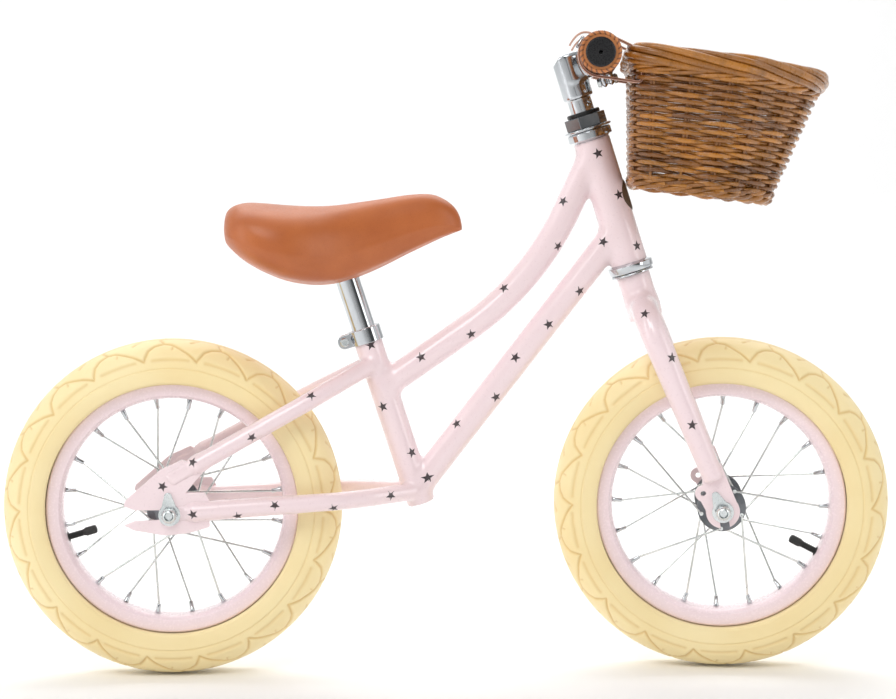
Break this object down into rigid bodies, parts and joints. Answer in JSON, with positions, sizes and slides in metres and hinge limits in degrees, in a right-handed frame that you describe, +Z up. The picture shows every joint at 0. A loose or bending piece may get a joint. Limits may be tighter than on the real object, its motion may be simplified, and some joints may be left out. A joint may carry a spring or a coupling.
{
  "type": "balance bike",
  "caption": "Child's balance bike: curved twin-tube steel frame, spoked wheels with fat tyres, height-adjustable saddle, turning fork and handlebar with a strapped wicker basket.",
  "frame": {"origin": "on the ground midway between the two axles, on the frame's middle plane", "axes": "+X forwards along the bike, +Y to the rider's left, +Z up; the front end rests turned 7.5 degrees to the rider's right"},
  "size_m": [0.8211, 0.4048, 0.5956],
  "materials": {
    "frame_paint": "gloss",
    "rim_paint": "satin gloss",
    "chrome_steel": "polished",
    "plain_steel": "bright drawn",
    "zinc_steel": "zinc plated",
    "dark_metal": "satin black",
    "cream_tyre": "moulded cream rubber",
    "black_rubber": "matte",
    "black_plastic": "satin",
    "brown_leather": "worn",
    "tan_leather": "stitched",
    "pale_leather": "soft",
    "saddle_leather": "smooth",
    "willow": "varnished honey brown"
  },
  "bodies": {
    "frame": {"head_tube": "frame_paint", "top_tube": "frame_paint", "down_tube": "frame_paint", "seat_tube": "frame_paint", "chain_stay_right": "frame_paint", "chain_stay_left": "frame_paint", "seat_stay_right": "frame_paint", "seat_stay_left": "frame_paint", "rear_dropout_right": "frame_paint", "rear_dropout_left": "frame_paint", "head_badge": "brown_leather", "headset_lower_cup": "chrome_steel", "headset_upper_cup": "chrome_steel", "headset_bearings": "plain_steel", "seat_clamp": "plain_steel", "seat_clamp_bolt": "zinc_steel", "rear_axle": "zinc_steel", "rear_axle_nuts": "zinc_steel", "rear_hook_washers": "zinc_steel"},
    "fork": {"fork_steerer": "plain_steel", "crown_race": "chrome_steel", "fork_crown": "frame_paint", "fork_leg_right": "frame_paint", "fork_leg_left": "frame_paint", "fork_dropout_right": "frame_paint", "fork_dropout_left": "frame_paint", "headset_top_race": "chrome_steel", "headset_locknut": "chrome_steel", "headset_seal": "black_plastic", "front_axle": "zinc_steel", "front_axle_nuts": "zinc_steel", "front_hook_washers": "zinc_steel"},
    "rear_wheel": {"rear_hub": "dark_metal", "rear_hub_bearings": "plain_steel", "rear_spokes": "plain_steel", "rear_nipples": "zinc_steel", "rear_rim": "rim_paint", "rear_inner_tube": "black_rubber", "rear_tyre": "cream_tyre"},
    "front_wheel": {"front_hub": "dark_metal", "front_hub_bearings": "plain_steel", "front_spokes": "plain_steel", "front_nipples": "zinc_steel", "front_rim": "rim_paint", "front_inner_tube": "black_rubber", "front_tyre": "cream_tyre"},
    "handlebar_set": {"stem": "chrome_steel", "stem_expander": "zinc_steel", "stem_pinch_bolt": "zinc_steel", "handlebar": "chrome_steel", "grip_right": "tan_leather", "grip_left": "tan_leather", "grip_plugs": "black_plastic", "basket": "willow", "basket_straps": "pale_leather", "strap_buckles": "chrome_steel"},
    "saddle_set": {"seat_post": "chrome_steel", "saddle_clamp": "dark_metal", "saddle_base": "black_plastic", "saddle_cover": "saddle_leather"}
  },
  "joints": [
    {"name": "steering", "type": "hinge", "parent": "frame", "child": "fork", "pos_m": [0.1687, 0, 0.3797], "axis": [-0.3024, 0, 0.9532], "range_deg": [-62, 77]},
    {"name": "front_wheel_spin", "type": "hinge", "parent": "fork", "child": "front_wheel", "pos_m": [0.25526, -0.00196, 0.156], "axis": [0.1244, 0.9914, 0.0395], "continuous": true},
    {"name": "rear_wheel_spin", "type": "hinge", "parent": "frame", "child": "rear_wheel", "pos_m": [-0.255, 0, 0.156], "axis": [0, 1, 0], "continuous": true},
    {"name": "stem_height", "type": "slide", "parent": "fork", "child": "handlebar_set", "axis": [-0.3024, 0, 0.9532], "range_m": [-0.008, 0.03]},
    {"name": "seat_height", "type": "slide", "parent": "frame", "child": "saddle_set", "axis": [-0.3107, 0, 0.9505], "range_m": [-0.02, 0.06]}
  ]
}
